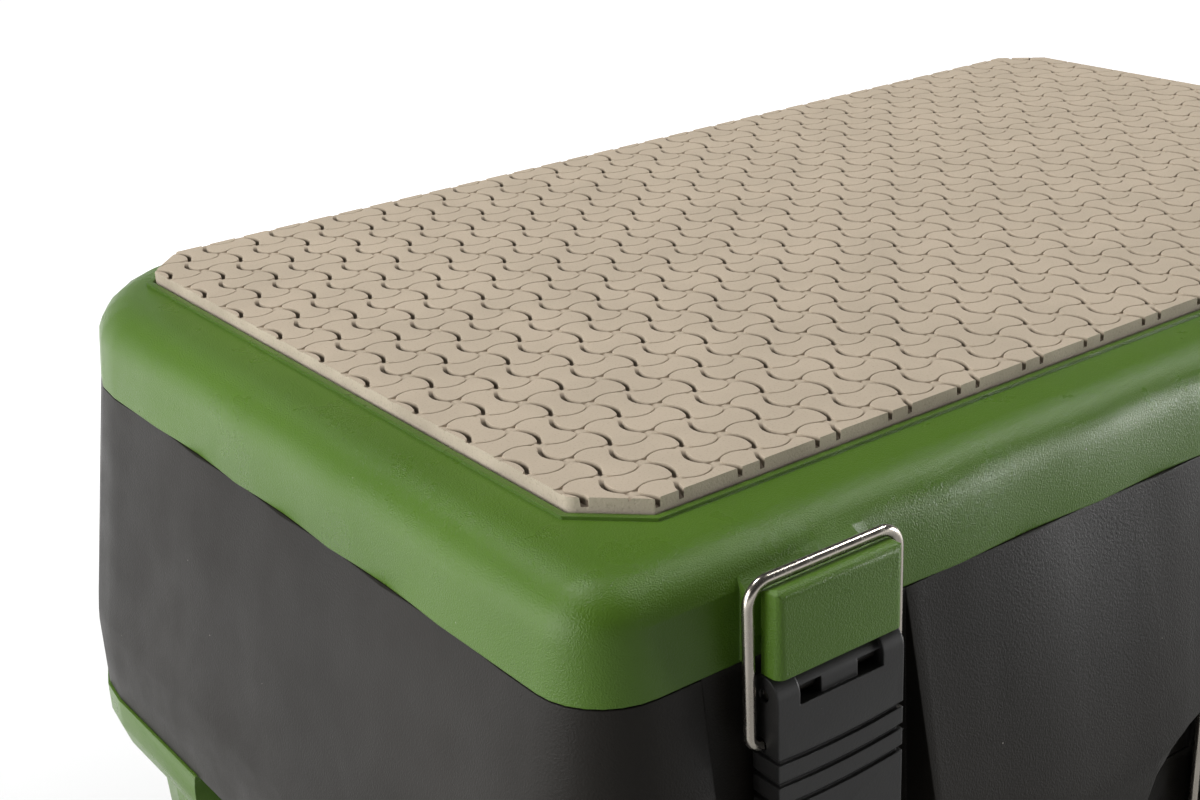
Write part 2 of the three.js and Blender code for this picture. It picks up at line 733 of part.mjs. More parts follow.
function lowerBody() {
  const outer = stack(lowerLevels(0, lowerTopZ, footHeight));
  const cavity = stack(lowerLevels(wall, lowerTopZ + overrun, footHeight + floorThickness));
  const place = [0, lowerLatchY, lowerLatchZ];
  const room = linerThickness + seatGap;
  const backing = pocketTool(pocketRise, pocketDrop, wall + room, wall + room).translate(place);
  const pocket = pocketTool(pocketRise, pocketDrop, room, room).translate(place);
  const clearCavity = cut(cavity, backing, gripTool(wall, wall));
  const shell = cut(outer, clearCavity);
  const wholeLip = lip(shrink(ledge, wall), shrink(flare, wall + lipClearance), lowerTopZ, seamZ + lipHeight);
  const latchRoom = pocketTool(pocketRise, pocketDrop, wall, wall + lipClearance).translate(place);
  const aboveRim = box([-lidWidth, lidWidth], [-lidDepth, lidDepth], [lowerTopZ, upperTopZ]);
  const topLip = cut(wholeLip, latchRoom.intersect(aboveRim));
  const body = cut(join(shell, topLip), pocket, gripTool(0, 0));
  const hinges = bothHinges(sectionHinge, false, rearY + ledge.rear - wall / 2, false);
  return join(body, hinges, feet());
}

// Liner in the lower half of the middle latch's pocket, with the lugs for the latch
function latchLiner() {
  const place = [0, lowerLatchY, lowerLatchZ];
  const outer = stack(lowerLevels(0, lowerTopZ, footHeight));
  const skin = pocketTool(pocketRise, pocketDrop, linerThickness, linerThickness).translate(place);
  const hollow = pocketTool(pocketRise, pocketDrop, 0, 0).translate(place);
  return join(cut(skin.intersect(outer), hollow), latchLugs().translate(place));
}

// Draw latch pieces, in the latch's frame

function leverProfile() {
  const shape = new THREE.Shape();
  const front = -barrelRadius;
  const tipTop = leverTipHeight - leverLength;
  shape.moveTo(front, 0);
  shape.lineTo(front, tipTop);
  shape.lineTo(front - leverTipLip, leverTipRound - leverLength);
  shape.lineTo(front - leverTipLip + leverTipRound, -leverLength);
  shape.lineTo(leverDepth - leverTipRound, -leverLength);
  shape.lineTo(leverDepth, leverTipRound - leverLength);
  shape.lineTo(leverDepth, 0);
  shape.absarc(0, 0, barrelRadius, 0, Math.PI / 2);
  shape.absarc(0, 0, barrelRadius, Math.PI / 2, Math.PI);
  return shape;
}

// One groove across the lever's front and round its sides, bowed downwards in the middle
function leverGroove(drop) {
  const half = leverWidth / 2 + overrun;
  const edge = (offset) => {
    const found = [];
    for (let k = 0; k <= grooveSteps; k += 1) {
      const share = (2 * k) / grooveSteps - 1;
      const sag = grooveBow * (1 - share * share);
      found.push(point(share * half, offset - drop - sag));
    }
    return found;
  };
  const band = [...edge(-grooveWidth / 2), ...edge(grooveWidth / 2).reverse()];
  const core = leverWidth / 2 - grooveDepth;
  const tool = prismY(band, -barrelRadius - overrun, leverDepth + overrun);
  const kept = box([-core, core], [grooveDepth - barrelRadius, leverDepth + 2 * overrun], [-leverLength, 0]);
  return cut(tool, kept);
}

function leverSolid() {
  const half = leverWidth / 2;
  const front = -barrelRadius;
  const beyond = barrelRadius + overrun;
  const barrelSides = 4 * cornerSteps;
  const body = prismX(leverProfile(), -half, half);
  const plan = roundedRectangle(-half, half, front - leverTipLip, leverDepth + barrelRadius, leverEdge);
  const trimmed = body.intersect(prismZ(plan, -leverLength - overrun, barrelRadius + overrun));
  const inside = half - leverSideWall;
  const hollow = box(
    [-inside, inside],
    [front + leverPlate, leverDepth + overrun],
    [leverSideWall - leverLength, -notchDrop - leverPlate],
  );
  const notches = [-1, 1].map((side) => {
    const low = side < 0 ? -endKnuckle : knuckleHalf;
    const high = side < 0 ? -knuckleHalf : endKnuckle;
    const notch = box([low, high], [front - overrun, beyond], [-notchDrop, beyond]);
    const strip = box([low, high], [front, -windowRise], [windowRise, barrelRadius]);
    return cut(notch, cut(strip, rodX(low - overrun, high + overrun, 0, 0, lugRadius + lugGap, barrelSides)));
  });
  const lowFace = box([-endKnuckle, endKnuckle], [front - overrun, front + knuckleRecess], [-notchDrop, 0]);
  const highFace = box([-endKnuckle, endKnuckle], [front - overrun, beyond], [0, beyond]);
  const turned = rodX(-leverWidth, leverWidth, 0, 0, barrelRadius - knuckleRecess, barrelSides);
  const faceCut = join(lowFace, cut(highFace, turned));
  const pinBore = rodX(-leverWidth, leverWidth, 0, 0, pinRadius + pinClearance);
  const bailBore = rodX(-leverWidth, leverWidth, bailSetback, -bailPivotDrop, wireRadius + pinClearance);
  const grooves = Array.from({ length: grooveCount }, (_, k) => leverGroove(firstGroove + k * groovePitch));
  return cut(trimmed, hollow, ...notches, faceCut, pinBore, bailBore, ...grooves);
}

// Points round a right-angled bend between two straight runs
function bend(before, corner, after, radius) {
  const back = before.clone().sub(corner).normalize();
  const on = after.clone().sub(corner).normalize();
  const centre = corner.clone().addScaledVector(back, radius).addScaledVector(on, radius);
  return Array.from({ length: bendSteps + 1 }, (_, k) => {
    const angle = ((Math.PI / 2) * k) / bendSteps;
    return centre
      .clone()
      .addScaledVector(on, -radius * Math.cos(angle))
      .addScaledVector(back, -radius * Math.sin(angle));
  });
}

function bailSolid() {
  const at = (x, z) => new THREE.Vector3(x, bailSetback, z);
  const corners = [
    at(-bailEndReach, -bailPivotDrop),
    at(-bailHalfWidth, -bailPivotDrop),
    at(-bailHalfWidth, barHeight),
    at(bailHalfWidth, barHeight),
    at(bailHalfWidth, -bailPivotDrop),
    at(bailEndReach, -bailPivotDrop),
  ];
  const radii = [bailLowBend, bailTopBend, bailTopBend, bailLowBend];
  const path = [corners[0]];
  radii.forEach((radius, i) => path.push(...bend(corners[i], corners[i + 1], corners[i + 2], radius)));
  path.push(corners[corners.length - 1]);
  const rings = path.map((place, i) => {
    const before = path[Math.max(i - 1, 0)];
    const after = path[Math.min(i + 1, path.length - 1)];
    const travel = after.clone().sub(before).normalize();
    const across = axisY.clone().cross(travel);
    return Array.from({ length: wireSides }, (_, k) => {
      const angle = (2 * Math.PI * (k + 1 / 2)) / wireSides;
      return place
        .clone()
        .addScaledVector(across, wireRadius * Math.cos(angle))
        .addScaledVector(axisY, wireRadius * Math.sin(angle));
    });
  });
  return loft(rings);
}

const latchPin = () => rodX(-latchPinLength / 2, latchPinLength / 2, 0, 0, pinRadius);

// Dividers

// A plate across the whole cavity, trimmed to the walls with a clearance all round
function plateIn(plate) {
  const inside = stack([
    { grow: shrink(flare, wall + slotClearance), z: upperDeckZ + seatGap },
    ...withoutFlutes(upperLevels(wall + slotClearance, upperTopZ, seamZ)).slice(1),
  ]);
  return plate.intersect(inside);
}

function dividers() {
  const low = upperDeckZ + seatGap;
  const high = dividerTopZ;
  const half = dividerThickness / 2;
  const behind = longDividerSetback + half;
  const ahead = longDividerSetback - half;
  const across = lidWidth / 2 + flare.end;
  const long = plateIn(box([-across, across], [ahead, behind], [low, high]));
  const gap = half + slotClearance;
  const guides = [];
  const guide = (x, y) => [-1, 1].forEach((side) => {
    const near = x + side * gap;
    const far = x + side * (gap + slotRib);
    guides.push(box([Math.min(near, far), Math.max(near, far)], y, [low, high]));
  });
  guide(-crossDividerX, [ahead - slotRibReach, ahead]);
  guide(crossDividerX, [ahead - slotRibReach, ahead]);
  guide(0, [behind, behind + slotRibReach]);
  const crossFront = (x) => {
    const run = [frontY - flare.front, ahead - slotClearance];
    return plateIn(box([x - half, x + half], run, [low, high]));
  };
  const rearRun = [behind + slotClearance, rearY + flare.rear];
  const crossRear = plateIn(box([-half, half], rearRun, [low, high]));
  return {
    long_divider: join(long, ...guides),
    cross_divider_left: crossFront(-crossDividerX),
    cross_divider_right: crossFront(crossDividerX),
    cross_divider_rear: crossRear,
  };
}

// Hinge pins

function hingePin(hinge, x) {
  const half = (knuckleCount * knuckleLength + (knuckleCount - 1) * knuckleGap) / 2;
  return rodX(x - half, x + half, hinge.y, hinge.z, hingePinRadius);
}

// Materials and assembly

const plastic = (color, roughness) => new THREE.MeshStandardMaterial({ color, roughness, metalness: 0 });
const green = plastic(0x4f7a24, 0.5);
const black = plastic(0x2b2928, 0.55);
const darkGrey = plastic(0x4a4a4a, 0.6);
const foam = plastic(0xb5a996, 0.95);
const steel = new THREE.MeshStandardMaterial({ color: 0xb9b2a8, roughness: 0.25, metalness: 1 });

function latch(where, place) {
  const group = new THREE.Group();
  group.position.set(...place);
  group.add(meshOf(`latch_lever_${where}`, leverSolid(), black));
  group.add(meshOf(`latch_bail_${where}`, bailSolid(), steel));
  group.add(meshOf(`latch_pin_${where}`, latchPin(), steel));
  return group;
}

const part = new THREE.Group();
part.add(meshOf("lower_body", lowerBody(), green));
part.add(meshOf("latch_liner", latchLiner(), black));
part.add(meshOf("upper_body", upperBody(), black));
part.add(meshOf("lid_shell", lidShell(), green));
part.add(meshOf("seat_pad", seatPad(), foam));
Object.entries(dividers()).forEach(([name, solid]) => part.add(meshOf(name, solid, darkGrey)));

part.add(latch("left", [-latchX, lidLatchY, lidLatchZ]));
part.add(latch("right", [latchX, lidLatchY, lidLatchZ]));
part.add(latch("lower", [0, lowerLatchY, lowerLatchZ]));

[["left", -hingeX], ["right", hingeX]].forEach(([side, x]) => {
  part.add(meshOf(`lid_hinge_pin_${side}`, hingePin(lidHinge, x), steel));
  part.add(meshOf(`section_hinge_pin_${side}`, hingePin(sectionHinge, x), steel));
});

// The origin lies midway between the foremost face, the ledge, and the rearmost, the section hinge.
const foremost = frontY - ledge.front;
const rearmost = sectionHinge.y + knuckleRadius;
part.position.y = -(foremost + rearmost) / 2;

export default part;
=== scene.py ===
"""Looks for a fishing seat box: moulded shells, a pressed foam pad and round wire bails."""

import json
import math

import bmesh
import bpy
import numpy as np
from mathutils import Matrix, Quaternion, Vector


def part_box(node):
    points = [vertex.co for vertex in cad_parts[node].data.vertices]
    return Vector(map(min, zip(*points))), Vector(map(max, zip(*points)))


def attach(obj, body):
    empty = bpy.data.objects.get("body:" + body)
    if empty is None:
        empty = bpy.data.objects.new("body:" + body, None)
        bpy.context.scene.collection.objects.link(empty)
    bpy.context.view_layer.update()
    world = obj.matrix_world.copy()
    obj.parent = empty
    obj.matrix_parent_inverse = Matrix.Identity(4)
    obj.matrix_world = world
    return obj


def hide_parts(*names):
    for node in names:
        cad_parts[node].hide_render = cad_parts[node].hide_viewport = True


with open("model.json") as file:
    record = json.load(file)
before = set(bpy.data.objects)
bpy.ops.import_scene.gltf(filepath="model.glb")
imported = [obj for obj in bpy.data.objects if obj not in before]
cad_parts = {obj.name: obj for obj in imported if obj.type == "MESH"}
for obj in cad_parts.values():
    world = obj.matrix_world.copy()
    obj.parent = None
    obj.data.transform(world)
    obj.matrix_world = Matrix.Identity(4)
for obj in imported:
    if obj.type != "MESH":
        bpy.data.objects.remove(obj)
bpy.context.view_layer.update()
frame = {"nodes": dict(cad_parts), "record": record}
nodes = frame["nodes"]
bodies = frame["record"]["behaviour"]["bodies"]
node_body = {node: body for body, members in bodies.items() for node in members}
node_slot = {part["node"]: part["material_slot"] for part in frame["record"]["subparts"]}

MM = 0.001
DEGREE = math.pi / 180

# Camera, solved from the photograph's straight edges
CAMERA_PLACE = (-0.339783, -0.333587, 0.442381)
CAMERA_YAW = 35.7178 * DEGREE  # from +Y towards +X
CAMERA_PITCH = 22.3888 * DEGREE  # below the horizon
CAMERA_ROLL = -2.8081 * DEGREE
CAMERA_LENS = 54.841
CAMERA_NEAR = 10 * MM
SENSOR_WIDTH = 36.0

# Moulded plastic
GRAIN_HEIGHT = 0.1 * MM
TONE_SIZE = 60 * MM  # slow changes of colour
TONE_SPAN = (0.35, 0.65)
WEAR_SIZE = 14 * MM  # patches of rougher and smoother skin
WEAR_SPAN = (0.3, 0.7)
WEAR_CHANGE = (-0.05, 0.06)  # of the roughness
WAVE_SIZE = 45 * MM  # flow marks
WAVE_HEIGHT = 0.8 * MM
WAVE_STRENGTH = 0.15
SPECK_SPACING = 9 * MM
SPECK_SHARES = (0.012, 0.02)  # of the spacing, between which a speck fades out
SPECK_SHADE = 0.5
SPECK_COLOUR = (0.5, 0.47, 0.42)
EDGE_SHINE = 0.45 * MM  # how wide an edge catches the light
EDGE_SAMPLES = 4
PLASTICS = {
    "green_plastic": {
        "base": (0.066, 0.138, 0.0115), "faded": (0.074, 0.152, 0.013),
        "grain_size": 0.34 * MM, "grain_strength": 1.4, "roughness": 0.3, "shine": 0.28,
    },
    "black_plastic": {
        "base": (0.0125, 0.011, 0.009), "faded": (0.0165, 0.0145, 0.012),
        "grain_size": 0.45 * MM, "grain_strength": 0.8, "roughness": 0.42, "shine": 0.14,
    },
    "lever_plastic": {
        "base": (0.012, 0.0115, 0.011), "faded": (0.015, 0.0145, 0.014),
        "grain_size": 0.5 * MM, "grain_strength": 0.25, "roughness": 0.38, "shine": 0.35,
    },
    "divider_plastic": {
        "base": (0.05, 0.05, 0.05), "faded": (0.06, 0.06, 0.06),
        "grain_size": 0.7 * MM, "grain_strength": 0.2, "roughness": 0.5, "shine": 0.4,
    },
}

# Foam
MOTTLE_SIZE = 18 * MM
MOTTLE_SPAN = (0.3, 0.7)
PORE_SPAN = (0.34, 0.44)
PORE_SHADE = 0.35
PORE_TINT = (0.6, 0.58, 0.55)
PORE_DEPTH = 0.15 * MM
FOAM_ROUGHNESS = 0.82
FOAM_SHINE = 0.3
GROOVE_PAINTED_SHADE_DEPTHS = (0.3 * MM, 0.9 * MM)  # depths between which painted shade darkens a groove's wall
# colour of the painted shade down in the pad's grooves
GROOVE_PAINTED_SHADE_COLOUR = (0.07, 0.05, 0.032)
# groove_shade: how dark the painted shade in the grooves gets; the cut sides get none
FOAMS = {
    "foam_skin": {
        "base": (0.46, 0.383, 0.292), "dark": (0.415, 0.347, 0.264),
        "pore_size": 0.5 * MM, "pore_strength": 0.25, "groove_shade": 0.85,
    },
    "foam_cut": {
        "base": (0.56, 0.485, 0.385), "dark": (0.42, 0.355, 0.28),
        "pore_size": 0.6 * MM, "pore_strength": 1.0, "groove_shade": 0.0,
    },
}

# Drawn steel
MARK_SIZE = 1.2 * MM
MARK_SQUEEZE = (1, 1, 0.15)  # under 1 the marks are longer that way
MARK_SPAN = (0.3, 0.7)
MARK_DEPTH = 0.02 * MM
MARK_STRENGTH = 0.3
STEEL_PALE = (0.5, 0.46, 0.4)
STEEL_DARK = (0.34, 0.31, 0.27)
STEEL_ROUGHNESS = (0.16, 0.32)

# Moulded pieces: the plastic of each, and the widest rounding of its edges
SHELLS = {
    "lid_shell": ("green_plastic", 0.5 * MM),
    "upper_body": ("black_plastic", 0.4 * MM),
    "lower_body": ("green_plastic", 0.5 * MM),
    "latch_liner": ("black_plastic", 0.3 * MM),
}
LATCHES = ("left", "right", "lower")
LEVER = ("lever_plastic", 0.3 * MM)
DIVIDERS = ("long_divider", "cross_divider_left", "cross_divider_right", "cross_divider_rear")
DIVIDER = ("divider_plastic", 0.4 * MM)
ROUNDING_STEPS = 2
EDGE_ANGLE = 34 * DEGREE
SMOOTH_ANGLE = 32 * DEGREE
FLAT_ANGLE = 0.4 * DEGREE
MOST_CORNERS = 60  # a flat face with more is split into triangles
MERGE_DISTANCE = 0.002 * MM

# Wire bails
WIRE_RADIUS = 1.15 * MM
BAIL_TOP_BEND = 4.2 * MM
BAIL_LOW_BEND = 2.8 * MM
BAIL_END_REACH = 11.7 * MM
WIRE_SIDES = 24
BEND_STEPS = 12

# Foam pad, measured from its near left corner
TILE_PITCH_X = 9.8 * MM
TILE_PITCH_Y = 9.92 * MM
TILE_START_Y = 4.4 * MM
TILE_BULGE = 2.25 * MM
TILE_CORNER = 2.2 * MM
PAD_CORNER = 11.3 * MM
WAIST_GROOVE = 0.6 * MM  # half its width beside a tile's waist
HEAD_GROOVE = 0.12 * MM  # half its width along a tile's head
WAIST_DEPTH = 2.0 * MM
HEAD_DEPTH = 1.0 * MM
CROSSING_DEPTH = 0.2 * MM
CROSSING_POWER = 1.3  # how soon the grooves get shallower towards a crossing
TILE_EDGE = 0.05 * MM  # half the width of a groove's wall
HALF_SIDE_SHARES = (0.0, 0.11, 0.22, 0.33, 0.45, 0.62, 0.8, 1.0)
# Rings round a tile: tile edges past the middle of the groove's wall, and share of the groove's depth
TILE_RINGS = ((-1, 1.0), (0, 0.5), (1, 0.08), (3, 0.02), (8, 0.0))
SIDE_SHARES = (0.85, 0.6, 0.35, 0.1, 0.0)  # of the height under the grooves
PAD_CREASE_ANGLE = 55 * DEGREE
CUT_DISTANCE = 0.0001 * MM

# Stage
SEEING_RAYS = ("Is Camera Ray", "Is Glossy Ray", "Is Transmission Ray")
ROOM_LIGHT = 0.12  # what the room adds to the lamps
BACKDROP_TOP = (0.06, 0.25)  # sines of the heights between which the room turns from white to dim
CEILING_BRIGHTNESS = 0.06
FLOOR_REACH = 6.0
FLOOR_GREY = (0.5, 0.5, 0.5)
FLOOR_ROUGHNESS = 0.9
FADE_MIDDLE = (-0.05, -0.55, 0.0)
FADE_RANGE = (0.35, 1.6)  # distances from there between which the floor turns white
FADE_BRIGHTNESS = 0.89
LAMPS = {
    "key": {"place": (-1.6, 0.4, 0.62), "target": (0, 0, 0.2), "size": 1.6, "power": 36.0},
    "overhead": {"place": (-0.3, 0.6, 1.6), "target": (0, 0, 0.3), "size": 0.4, "power": 11.5},
    "band": {"place": (0.95, -0.05, 1.5), "target": (0, 0, 0.3), "size": 0.28, "power": 9.0},
    "fill": {"place": (1.1, -0.6, 0.36), "target": (0.1, 0, 0.2), "size": 0.4, "power": 13.0},
}


# Camera


def add_camera():
    data = bpy.data.cameras.new("camera")
    data.lens = CAMERA_LENS
    data.sensor_width = SENSOR_WIDTH
    data.clip_start = CAMERA_NEAR
    camera = bpy.data.objects.new("camera", data)
    bpy.context.scene.collection.objects.link(camera)
    forward = Vector((
        math.sin(CAMERA_YAW) * math.cos(CAMERA_PITCH),
        math.cos(CAMERA_YAW) * math.cos(CAMERA_PITCH),
        -math.sin(CAMERA_PITCH),
    ))
    camera.location = CAMERA_PLACE
    camera.rotation_mode = "QUATERNION"
    camera.rotation_quaternion = forward.to_track_quat("-Z", "Y") @ Quaternion((0, 0, 1), CAMERA_ROLL)
    bpy.context.scene.camera = camera


add_camera()
bpy.context.scene.view_settings.view_transform = "Standard"


# Materials


class Look:
    """The node tree of a material or a world, with short calls to add and join nodes."""

    def __init__(self, owner, shader="Principled BSDF", coords="Object"):
        owner.use_nodes = True
        self.owner = owner
        self.tree = owner.node_tree
        self.shader = self.tree.nodes[shader]
        self.coords = self.add("ShaderNodeTexCoord").outputs[coords]

    def feed(self, socket, value):
        if isinstance(value, bpy.types.NodeSocket):
            self.tree.links.new(value, socket)
        else:
            socket.default_value = value

    def add(self, kind, inputs=None, **settings):
        node = self.tree.nodes.new(kind)
        for key, value in settings.items():
            setattr(node, key, value)
        for key, value in (inputs or {}).items():
            self.feed(node.inputs[key], value)
        return node

    def set(self, name, value):
        self.feed(self.shader.inputs[name], value)

    def height(self):
        return self.add("ShaderNodeSeparateXYZ", {"Vector": self.coords}).outputs["Z"]

    def noise(self, size, detail, roughness=0.5, vector=None):
        place = vector or self.coords
        inputs = {"Vector": place, "Scale": 1 / size, "Detail": detail, "Roughness": roughness}
        return self.add("ShaderNodeTexNoise", inputs).outputs["Fac"]

    def ramp(self, value, span, result=(0.0, 1.0)):
        low, high = span
        to_low, to_high = result
        inputs = {"Value": value, "From Min": low, "From Max": high, "To Min": to_low, "To Max": to_high}
        return self.add("ShaderNodeMapRange", inputs).outputs["Result"]

    def mix(self, share, first, second):
        """Blends two colours. Their sockets are found by type, as a name stands for several of them."""
        node = self.add("ShaderNodeMix", {0: share}, data_type="RGBA")
        colours = [socket for socket in node.inputs if socket.type == "RGBA"]
        self.feed(colours[0], first)
        self.feed(colours[1], second)
        return next(socket for socket in node.outputs if socket.type == "RGBA")

    def bump(self, height, distance, strength, normal=None):
        inputs = {"Height": height, "Distance": distance, "Strength": strength}
        if normal:
            inputs["Normal"] = normal
        return self.add("ShaderNodeBump", inputs).outputs["Normal"]

    def seen_directly(self):
        """1 for the rays that see the room and the floor, 0 for those that only carry light."""
        path = self.add("ShaderNodeLightPath")
        total = path.outputs[SEEING_RAYS[0]]
        for kind in SEEING_RAYS[1:]:
            both = {0: total, 1: path.outputs[kind]}
            total = self.add("ShaderNodeMath", both, operation="MAXIMUM").outputs["Value"]
        return total


def colour(red, green, blue):
    return (red, green, blue, 1.0)


def moulded_plastic(name, base, faded, grain_size, grain_strength, roughness, shine):
    """Injection-moulded plastic: pebble grain, slow changes of tone, flow marks and a few specks of dust."""
    look = Look(bpy.data.materials.new(name))
    tone = look.ramp(look.noise(TONE_SIZE, detail=3.0), TONE_SPAN)
    body = look.mix(tone, colour(*base), colour(*faded))
    speck_inputs = {"Vector": look.coords, "Scale": 1 / SPECK_SPACING, "Randomness": 1.0}
    specks = look.add("ShaderNodeTexVoronoi", speck_inputs).outputs["Distance"]
    dust = look.ramp(specks, SPECK_SHARES, (SPECK_SHADE, 0.0))
    look.set("Base Color", look.mix(dust, body, colour(*SPECK_COLOUR)))
    wear = look.noise(WEAR_SIZE, detail=4.0)
    look.set("Roughness", look.ramp(wear, WEAR_SPAN, [roughness + change for change in WEAR_CHANGE]))
    look.set("Specular IOR Level", shine)
    pebble = look.noise(grain_size, detail=2.5, roughness=0.55)
    edges = look.add("ShaderNodeBevel", {"Radius": EDGE_SHINE}, samples=EDGE_SAMPLES).outputs["Normal"]
    grain = look.bump(pebble, GRAIN_HEIGHT, grain_strength, edges)
    waves = look.noise(WAVE_SIZE, detail=0.0)
    look.set("Normal", look.bump(waves, WAVE_HEIGHT, WAVE_STRENGTH, grain))
    return look.owner


def foam(name, base, dark, pore_size, pore_strength, groove_shade):
    """Closed-cell foam: matte, with pores and a slight mottle, and painted shade that darkens it down in the
    grooves.
    """
    look = Look(bpy.data.materials.new(name))
    tone = look.ramp(look.noise(MOTTLE_SIZE, detail=4.0), MOTTLE_SPAN)
    body = look.mix(tone, colour(*base), colour(*dark))
    pores = look.noise(pore_size, detail=3.0, roughness=0.7)
    pits = look.ramp(pores, PORE_SPAN, (PORE_SHADE, 0.0))
    pored = look.mix(pits, body, colour(*(part * tint for part, tint in zip(dark, PORE_TINT))))
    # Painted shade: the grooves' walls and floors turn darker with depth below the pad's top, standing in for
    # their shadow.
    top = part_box("seat_pad")[1].z
    shade_start, shade_end = GROOVE_PAINTED_SHADE_DEPTHS
    painted_shade = look.ramp(look.height(), (top - shade_end, top - shade_start), (groove_shade, 0.0))
    look.set("Base Color", look.mix(painted_shade, pored, colour(*GROOVE_PAINTED_SHADE_COLOUR)))
    look.set("Roughness", FOAM_ROUGHNESS)
    look.set("Specular IOR Level", FOAM_SHINE)
    look.set("Normal", look.bump(pores, PORE_DEPTH, pore_strength))
    return look.owner


def drawn_steel():
    """Bright wire with fine draw marks and a slightly warm tone."""
    look = Look(bpy.data.materials.new("drawn_steel"))
    squeezed = look.add("ShaderNodeMapping", {"Vector": look.coords, "Scale": MARK_SQUEEZE}).outputs["Vector"]
    marks = look.noise(MARK_SIZE, detail=4.0, roughness=0.7, vector=squeezed)
    look.set("Base Color", look.mix(marks, colour(*STEEL_PALE), colour(*STEEL_DARK)))
    look.set("Metallic", 1.0)
    look.set("Roughness", look.ramp(marks, MARK_SPAN, STEEL_ROUGHNESS))
    look.set("Normal", look.bump(marks, MARK_DEPTH, MARK_STRENGTH))
    return look.owner


plastics = {name: moulded_plastic(name, **values) for name, values in PLASTICS.items()}
foams = {name: foam(name, **values) for name, values in FOAMS.items()}
steel = drawn_steel()


def paint(obj, *materials):
    if obj.data.materials:
        obj.data.materials.clear()
    for material in materials:
        obj.data.materials.append(material)


# Pieces


def new_piece(name, mesh, body, slot, *materials):
    piece = bpy.data.objects.new(name, mesh)
    bpy.context.scene.collection.objects.link(piece)
    paint(piece, *materials)
    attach(piece, body)
    return piece


def shade_smooth(mesh, crease_angle):
    mesh.polygons.foreach_set("use_smooth", [True] * len(mesh.polygons))
    mesh.set_sharp_from_angle(angle=crease_angle)


def softened(node, plastic, width):
    """Stands for a moulded node: the same shape with its edges rounded, as far as the short edges allow."""
    mesh = nodes[node].data.copy()
    bm = bmesh.new()
    bm.from_mesh(mesh)
    bmesh.ops.remove_doubles(bm, verts=bm.verts, dist=MERGE_DISTANCE)
    bmesh.ops.dissolve_limit(bm, angle_limit=FLAT_ANGLE, verts=bm.verts, edges=bm.edges)
    bmesh.ops.triangulate(bm, faces=[face for face in bm.faces if len(face.verts) > MOST_CORNERS])
    bm.to_mesh(mesh)
    bm.free()
    piece = new_piece(f"{node}_look", mesh, node_body[node], node_slot[node], plastics[plastic])
    mesh.set_sharp_from_angle(angle=SMOOTH_ANGLE)
    rounding = piece.modifiers.new("edges", "BEVEL")
    rounding.width = width
    rounding.segments = ROUNDING_STEPS
    rounding.limit_method = "ANGLE"
    rounding.angle_limit = EDGE_ANGLE
    rounding.use_clamp_overlap = True
    rounding.harden_normals = False
    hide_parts(node)


def bend(before, corner, after, radius):
    """Points round a right-angled bend between two straight runs."""
    back = (before - corner).normalized()
    onward = (after - corner).normalized()
    centre = corner + (back + onward) * radius
    angles = [math.pi / 2 * k / BEND_STEPS for k in range(BEND_STEPS + 1)]
    return [centre - onward * radius * math.cos(a) - back * radius * math.sin(a) for a in angles]


def tube(name, path, radius):
    """A round wire along a path in an upright plane, with flat ends."""
    across_plane = Vector((0, 1, 0))
    last = len(path) - 1
    verts = []
    for i, place in enumerate(path):
        travel = (path[min(i + 1, last)] - path[max(i - 1, 0)]).normalized()
        side = across_plane.cross(travel)
        for k in range(WIRE_SIDES):
            angle = 2 * math.pi * k / WIRE_SIDES
            verts.append(place + side * radius * math.cos(angle) + across_plane * radius * math.sin(angle))
    faces = []
    for i in range(last):
        ring = i * WIRE_SIDES
        onward = ring + WIRE_SIDES
        for k in range(WIRE_SIDES):
            beside = (k + 1) % WIRE_SIDES
            faces.append((ring + k, ring + beside, onward + beside, onward + k))
    faces.append(tuple(reversed(range(WIRE_SIDES))))
    faces.append(tuple(last * WIRE_SIDES + k for k in range(WIRE_SIDES)))
    mesh = bpy.data.meshes.new(name)
    mesh.from_pydata([tuple(v) for v in verts], [], faces)
    shade_smooth(mesh, SMOOTH_ANGLE)
    return mesh


def wire_bail(node):
    """Stands for a bail: its bar, two legs, and the ends that turn in to its lever."""
    low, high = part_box(node)
    middle = (low + high) / 2
    low_z = low.z + WIRE_RADIUS
    high_z = high.z - WIRE_RADIUS
    half = (high.x - low.x) / 2 - WIRE_RADIUS
    outline = (
        (-BAIL_END_REACH, low_z), (-half, low_z), (-half, high_z),
        (half, high_z), (half, low_z), (BAIL_END_REACH, low_z),
    )
    corners = [Vector((middle.x + x, middle.y, z)) for x, z in outline]
    radii = (BAIL_LOW_BEND, BAIL_TOP_BEND, BAIL_TOP_BEND, BAIL_LOW_BEND)
    path = [corners[0]]
    for i, radius in enumerate(radii):
        path += bend(corners[i], corners[i + 1], corners[i + 2], radius)
    path.append(corners[-1])
    piece = new_piece(f"{node}_wire", tube(node, path, WIRE_RADIUS), node_body[node], "steel", steel)
    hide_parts(node)


# Foam pad


def rounded(along, inset):
    """Moves places along a cell's side in by inset, past rounded corners, as (along, in)."""
    turn = np.clip(1 - along / TILE_CORNER, 0, 1) * math.pi / 4
    reach = TILE_CORNER - inset
    return np.maximum(along, TILE_CORNER) - reach * np.sin(turn), TILE_CORNER - reach * np.cos(turn)


def whole_ring(front, left):
    """A ring from its front and left half sides, each given as x, y and drop from the near left corner."""
    x, y, drop = (np.concatenate([one[::-1], other[1:]]) for one, other in zip(left, front))
    far_x = TILE_PITCH_X - x
    far_y = TILE_PITCH_Y - y
    return np.stack([
        np.concatenate([x[:-1], far_x[:0:-1], far_x[:-1], x[:0:-1]]),
        np.concatenate([y[:-1], y[:0:-1], far_y[:-1], far_y[:0:-1]]),
        np.concatenate([drop[:-1], drop[:0:-1], drop[:-1], drop[:0:-1]]),
    ])


